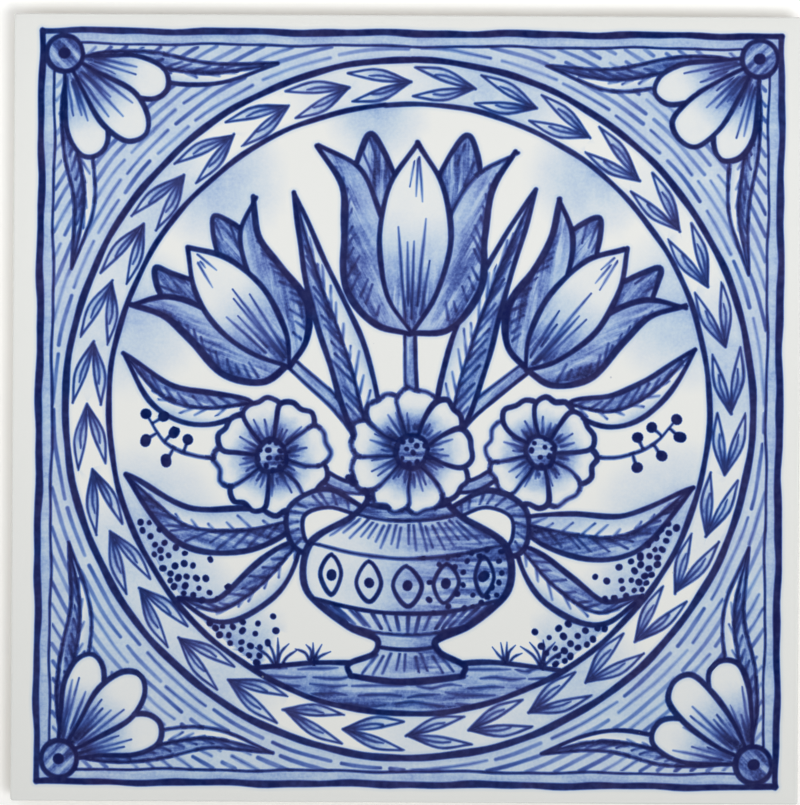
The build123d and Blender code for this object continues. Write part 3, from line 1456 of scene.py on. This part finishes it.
@dataclass(frozen=True)
class GlazedEarthenware:
    """The one finish of the tile: painted glaze over the front, biscuit below an uneven glaze line.

    The glaze line lies at a height on the sides, from which the glaze ran down here and there.
    """

    paint: CobaltPaint = CobaltPaint()
    glaze: TinGlaze = TinGlaze()
    biscuit: Biscuit = Biscuit()
    glaze_line: float = 3.0
    drip: float = 5.0
    drip_width: float = 16.0
    line_edge: float = 0.15

    def make(self) -> Material:
        """Builds the material.

        Returns:
            The material.
        """
        material = bpy.data.materials.new("tin_glazed_earthenware_hand_painted")
        material.use_nodes = True
        tree = material.node_tree
        spot = add_node(tree, "TexCoord", output="Object")
        height = add_node(tree, "SeparateXYZ", {0: spot}, output="Z")
        drip = add_node(tree, "TexNoise", {"Vector": spot, "Scale": 1 / (self.drip_width * MM)})
        line = add_node(tree, "Math", {0: drip, 1: self.drip * MM, 2: height}, operation="MULTIPLY_ADD")
        low, edge = (self.glaze_line + self.drip / 2) * MM, self.line_edge * MM
        glazed = add_node(tree, "MapRange", {"Value": line, "From Min": low - edge, "From Max": low + edge})
        colours = {"Factor": glazed, 6: self.clay_colour(tree, spot), 7: self.paint_colour(tree, spot)}
        rough = {"Value": glazed, "To Min": self.biscuit.roughness, "To Max": self.glaze.roughness}
        shader = tree.nodes["Principled BSDF"].inputs
        shader["IOR"].default_value = self.glaze.ior
        for socket, value in (
            ("Base Color", add_node(tree, "Mix", colours, output=2, data_type="RGBA")),
            ("Roughness", add_node(tree, "MapRange", rough)),
            ("Normal", self.relief(tree, spot, glazed)),
        ):
            tree.links.new(value, shader[socket])
        return material

    def streaks(self, tree: NodeTree, wash: NodeSocket) -> NodeSocket:
        """Draws the pull of the brush through the thicker washes.

        Args:
            tree: the material's nodes.
            wash: the strength of the wash.

        Returns:
            What the strength is multiplied by.
        """
        paint = self.paint
        way = add_node(tree, "Attribute", output="Vector", attribute_name="streaks")
        sizes = (1 / paint.streak_length, 1 / paint.streak_width, paint.streak_shuffle)
        pulled = add_node(tree, "VectorMath", {0: way, 1: sizes}, operation="MULTIPLY")
        streak = add_node(tree, "TexNoise", {"Vector": pulled, "Scale": 1.0})
        bounds = (*paint.streak_bounds, *paint.streak_pull)
        pull = add_node(tree, "MapRange", dict(zip(RANGE, (streak, *bounds))))
        thick = add_node(tree, "MapRange", dict(zip(RANGE, (wash, *paint.streaked))))
        return add_node(tree, "Mix", {0: thick, 2: 1.0, 3: pull})

    def paint_colour(self, tree: NodeTree, spot: NodeSocket) -> NodeSocket:
        """Mixes the painted glaze's colour from the paint that the face carries.

        Args:
            tree: the material's nodes.
            spot: the place on the tile.

        Returns:
            The colour.
        """
        paint = self.paint
        ink = add_node(tree, "Attribute", output="Fac", attribute_name="ink")
        tone = wash = add_node(tree, "Attribute", output="Fac", attribute_name="wash")
        patches = (paint.pooling.vary(tree, spot), paint.settling.vary(tree, spot))
        for pattern in (self.streaks(tree, wash), *patches):
            tone = add_node(tree, "Math", {0: tone, 1: pattern}, operation="MULTIPLY")
        tone.node.use_clamp = True
        thin = paint.thinning.vary(tree, spot)
        stroke = add_node(tree, "Math", {0: ink, 1: thin}, operation="MULTIPLY")
        bare = add_node(tree, "Math", {0: 1.0, 1: stroke}, operation="SUBTRACT")
        both = add_node(tree, "Math", {0: tone, 1: bare, 2: stroke}, operation="MULTIPLY_ADD")
        ramp = add_node(tree, "ValToRGB", {"Fac": both})
        stops = ramp.node.color_ramp.elements
        while len(stops) < len(paint.stops):
            stops.new(0.5)
        for stop, (place, code) in zip(stops, paint.stops):
            stop.position = place
            stop.color = linear(code)
        blue = {"Hue": paint.hue.vary(tree, spot), "Saturation": paint.richness.vary(tree, spot)}
        blue["Fac"] = add_node(tree, "MapRange", {"Value": ink, "To Min": paint.drift_in_washes})
        tinted = add_node(tree, "HueSaturation", {"Color": ramp} | blue)
        return self.scatter(tree, spot, tinted, self.glaze.marks)

    @staticmethod
    def scatter(
        tree: NodeTree, spot: NodeSocket, colour: NodeSocket, marks: Sequence[Specks]
    ) -> NodeSocket:
        """Scatters small marks over a surface.

        Args:
            tree: the material's nodes.
            spot: the place on the tile.
            colour: the colour under the marks.
            marks: the kinds of mark.

        Returns:
            The colour with the marks in it.
        """
        for mark in marks:
            places = {"Vector": spot, "Scale": 1 / (mark.spacing * MM)}
            distance = add_node(tree, "TexVoronoi", places, output="Distance")
            chance = add_node(tree, "SeparateColor", {0: distance.node.outputs["Color"]}, output="Red")
            sizes = {"Value": chance, "From Min": 1 - mark.share, "To Max": mark.radius / mark.spacing}
            size = add_node(tree, "MapRange", sizes)
            gap = add_node(tree, "Math", {0: size, 1: distance}, operation="SUBTRACT")
            depth = {"Value": gap, "From Max": mark.edge / mark.spacing, "To Max": mark.strength}
            mixed = {"Factor": add_node(tree, "MapRange", depth), 6: colour, 7: linear(mark.colour)}
            colour = add_node(tree, "Mix", mixed, output=2, data_type="RGBA")
        return colour

    def clay_colour(self, tree: NodeTree, spot: NodeSocket) -> NodeSocket:
        """Mixes the biscuit's colour from its clouds and specks.

        Args:
            tree: the material's nodes.
            spot: the place on the tile.

        Returns:
            The colour.
        """
        clay = self.biscuit
        look = {"Scale": 1 / (clay.cloud * MM), "Detail": 8.0, "Roughness": 0.7}
        cloud = add_node(tree, "TexNoise", {"Vector": spot} | look)
        colours = {"Factor": cloud, 6: linear(clay.dark), 7: linear(clay.colour)}
        mixed = add_node(tree, "Mix", colours, output=2, data_type="RGBA")
        return self.scatter(tree, spot, mixed, clay.marks)

    def relief(self, tree: NodeTree, spot: NodeSocket, glazed: NodeSocket) -> NodeSocket:
        """Makes the small relief: long waves in the glaze and grit in the biscuit.

        Args:
            tree: the material's nodes.
            spot: the place on the tile.
            glazed: 1 on the glaze and 0 on the biscuit.

        Returns:
            The shading direction.
        """
        glaze, clay = self.glaze, self.biscuit
        wave = add_node(tree, "TexNoise", {"Vector": spot, "Scale": 1 / (glaze.wave * MM), "Detail": 1.5})
        depth = {"Strength": glaze.wave_strength, "Distance": glaze.wave_height * MM}
        swell = add_node(tree, "Bump", {"Height": wave} | depth)
        grit = add_node(tree, "TexNoise", {"Vector": spot, "Scale": 1 / (clay.grain * MM), "Detail": 5.0})
        bare = add_node(tree, "Math", {0: 1.0, 1: glazed}, operation="SUBTRACT")
        depth = {"Strength": bare, "Distance": clay.grain_height * MM}
        return add_node(tree, "Bump", {"Height": grit, "Normal": swell} | depth)


# Stage


@dataclass(frozen=True)
class Lamp:
    """A softbox, in metres: its place, where it points and its two sides, and its share of the light."""

    name: str
    place: tuple[float, float, float]
    aim: tuple[float, float, float]
    sides: Pair
    share: float
    polarised: bool = True

    def build(self) -> None:
        """Hangs the lamp. A polarised one leaves no reflection in the glaze."""
        light = bpy.data.lights.new(self.name, "AREA")
        light.shape = "RECTANGLE"
        light.size, light.size_y = self.sides
        away = Vector(self.place)
        light.energy = self.share * math.pi**2 * away.length**3 / away.z
        lamp = bpy.data.objects.new(self.name, light)
        lamp.location = away
        lamp.rotation_euler = (away - Vector(self.aim)).to_track_quat("Z", "Y").to_euler()
        lamp.visible_glossy = not self.polarised
        bpy.context.collection.objects.link(lamp)


@dataclass
class Studio:
    """A white floor, soft light and a camera that looks straight down.

    The floor's size, the lamps and the camera's distance are in metres. The gap under the tile, the height
    of its face and what the camera frames are in millimetres.
    """

    floor_size: float = 6.0
    floor_colour: str = "#F9F9F7"
    floor_roughness: float = 0.9
    floor_specular: float = 0.1
    floor_glow: float = 0.13
    floor_gap: float = 0.05
    fill: float = 0.54
    ceiling: float = 0.05
    ceiling_edge: Pair = (0.86, 0.95)
    lamps: tuple[Lamp, ...] = (
        Lamp("softbox_right", (0.42, -0.42, 2.0), (0.0, 0.0, 0.0), (0.6, 0.6), 0.32),
        Lamp("strip_overhead", (0.04, 0.04, 0.14), (0.04, 0.04, 0.0), (0.5, 0.04), 0.58),
    )
    distance: float = 0.95
    sensor: float = 36.0
    face_height: float = 8.0
    frame_height: float = 132.85
    centre: Pair = (-1.0, 1.05)
    roll: float = 0.3

    def build(self) -> None:
        """Sets up the floor, the light and the camera."""
        self.build_floor()
        self.build_fill()
        for lamp in self.lamps:
            lamp.build()
        self.build_camera()

    def build_floor(self) -> None:
        """Lays a wide floor that keeps the tile's shadow."""
        bpy.ops.object.select_all(action="DESELECT")
        bpy.ops.mesh.primitive_plane_add(size=self.floor_size, location=(0, 0, -self.floor_gap * MM))
        floor = bpy.context.object
        bpy.ops.object.transform_apply(location=True, rotation=True, scale=True)
        floor.name = "floor"
        floor.data.materials.append(self.paper())

    def paper(self) -> Material:
        """Makes matt white paper, which glows a little for the camera as if lit from behind.

        Returns:
            The material.
        """
        paper = bpy.data.materials.new("matt_white_paper")
        paper.use_nodes = True
        tree = paper.node_tree
        shader = tree.nodes["Principled BSDF"]
        shader.inputs["Base Color"].default_value = linear(self.floor_colour)
        shader.inputs["Roughness"].default_value = self.floor_roughness
        shader.inputs["Specular IOR Level"].default_value = self.floor_specular
        seen = add_node(tree, "LightPath", output="Is Camera Ray")
        ray = seen.node.outputs
        for other in ("Is Glossy Ray", "Is Transmission Ray"):
            seen = add_node(tree, "Math", {0: seen, 1: ray[other]}, operation="MAXIMUM")
        glow = add_node(tree, "Math", {0: seen, 1: self.floor_glow}, operation="MULTIPLY")
        light = add_node(tree, "Emission", {"Strength": glow})
        both = add_node(tree, "AddShader", {0: shader.outputs[0], 1: light})
        tree.links.new(both, tree.nodes["Material Output"].inputs["Surface"])
        return paper

    def build_fill(self) -> None:
        """Sets an even fill from the sides, with the dark of the room above the camera."""
        world = bpy.data.worlds.new("studio")
        world.use_nodes = True
        tree = world.node_tree
        way = add_node(tree, "TexCoord", output="Generated")
        up = add_node(tree, "SeparateXYZ", {0: way}, output="Z")
        levels = dict(zip(RANGE, (up, *self.ceiling_edge, self.fill, self.ceiling)))
        dim = add_node(tree, "MapRange", levels, interpolation_type="SMOOTHSTEP")
        tree.links.new(dim, tree.nodes["Background"].inputs["Strength"])
        tree.nodes["Background"].inputs["Color"].default_value = (1, 1, 1, 1)
        bpy.context.scene.world = world

    def build_camera(self) -> None:
        """Hangs the camera above the tile, framed as in the photograph."""
        lens = bpy.data.cameras.new("camera")
        lens.sensor_width = self.sensor
        lens.lens = self.sensor * (self.distance - self.face_height * MM) / (self.frame_height * MM)
        lens.clip_start = 0.01
        camera = bpy.data.objects.new("camera", lens)
        camera.location = (self.centre[0] * MM, self.centre[1] * MM, self.distance)
        camera.rotation_euler = (0.0, 0.0, math.radians(self.roll))
        bpy.context.collection.objects.link(camera)
        bpy.context.scene.camera = camera
        bpy.context.scene.view_settings.view_transform = "Standard"


def main() -> None:
    """Builds the tile and its stage, and logs how many strokes, washes, points, faces and lamps they have.
    """
    logging.basicConfig(level=logging.INFO, format="%(name)s: %(message)s")
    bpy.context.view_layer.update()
    art = FlowerPainting().compose()
    LOG.info("painting: %d strokes, %d washes", len(art.strokes), len(art.washes))
    tile = TileBody().build(art)
    tile.data.materials.clear()
    tile.data.materials.append(GlazedEarthenware().make())
    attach(tile, "root")
    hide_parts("tile")
    LOG.info("%s: %d points, %d faces", tile.name, len(tile.data.vertices), len(tile.data.polygons))
    studio = Studio()
    studio.build()
    LOG.info("studio: floor, fill, %d lamps and camera", len(studio.lamps))


if __name__ == "__main__":
    main()
